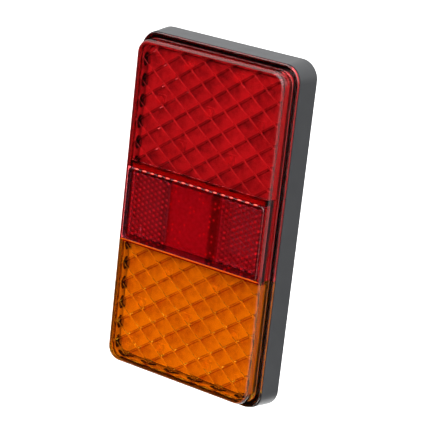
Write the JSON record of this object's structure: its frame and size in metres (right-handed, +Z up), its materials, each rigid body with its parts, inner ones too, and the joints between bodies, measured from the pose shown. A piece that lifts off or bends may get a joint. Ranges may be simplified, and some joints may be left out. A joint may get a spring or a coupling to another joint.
{
  "type": "trailer tail light",
  "caption": "Rectangular trailer tail light: red and amber pillow-optic lenses with a reflex reflector between them, on a shallow black housing with rear studs.",
  "frame": {"origin": "centre of the rear mounting face, midway between the two studs", "axes": "+Y out of the back along the studs, -Y toward the viewer of the lens, +Z up (red lens above amber), +X to the viewer's right"},
  "size_m": [0.082, 0.0369, 0.15],
  "materials": {
    "housing": "satin, lightly grained",
    "red_lens": "clear red, polished",
    "amber_lens": "clear amber, polished",
    "reflector": "clear red with prisms",
    "tray": "satin red",
    "light_wall": "satin white",
    "sealant": "satin",
    "resin": "cast, slightly wavy",
    "board": "white solder mask",
    "led_red": "clear red-tinted epoxy",
    "led_amber": "clear amber-tinted epoxy",
    "screw_steel": "zinc plated",
    "resistor": "matt black",
    "diode": "satin black",
    "solder": "bright solder",
    "stud_steel": "bright zinc plated",
    "grommet": "matt black"
  },
  "bodies": {
    "root": {"housing": "housing", "red_lens": "red_lens", "amber_lens": "amber_lens", "reflex_reflector": "reflector", "reflector_tray": "tray", "upper_light_wall": "light_wall", "lower_light_wall": "light_wall", "sealant_bead": "sealant", "potting_resin": "resin", "circuit_board": "board", "board_screws": "screw_steel", "resistors": "resistor", "diodes": "diode", "solder_terminals": "solder", "mounting_studs": "stud_steel", "cable_grommet": "grommet", "red_led_1": "led_red", "amber_led_1": "led_amber", "red_led_2": "led_red", "amber_led_2": "led_amber", "red_led_3": "led_red", "amber_led_3": "led_amber", "red_led_4": "led_red", "amber_led_4": "led_amber", "red_led_5": "led_red", "amber_led_5": "led_amber", "red_led_6": "led_red", "amber_led_6": "led_amber", "red_led_7": "led_red", "amber_led_7": "led_amber"}
  },
  "joints": []
}
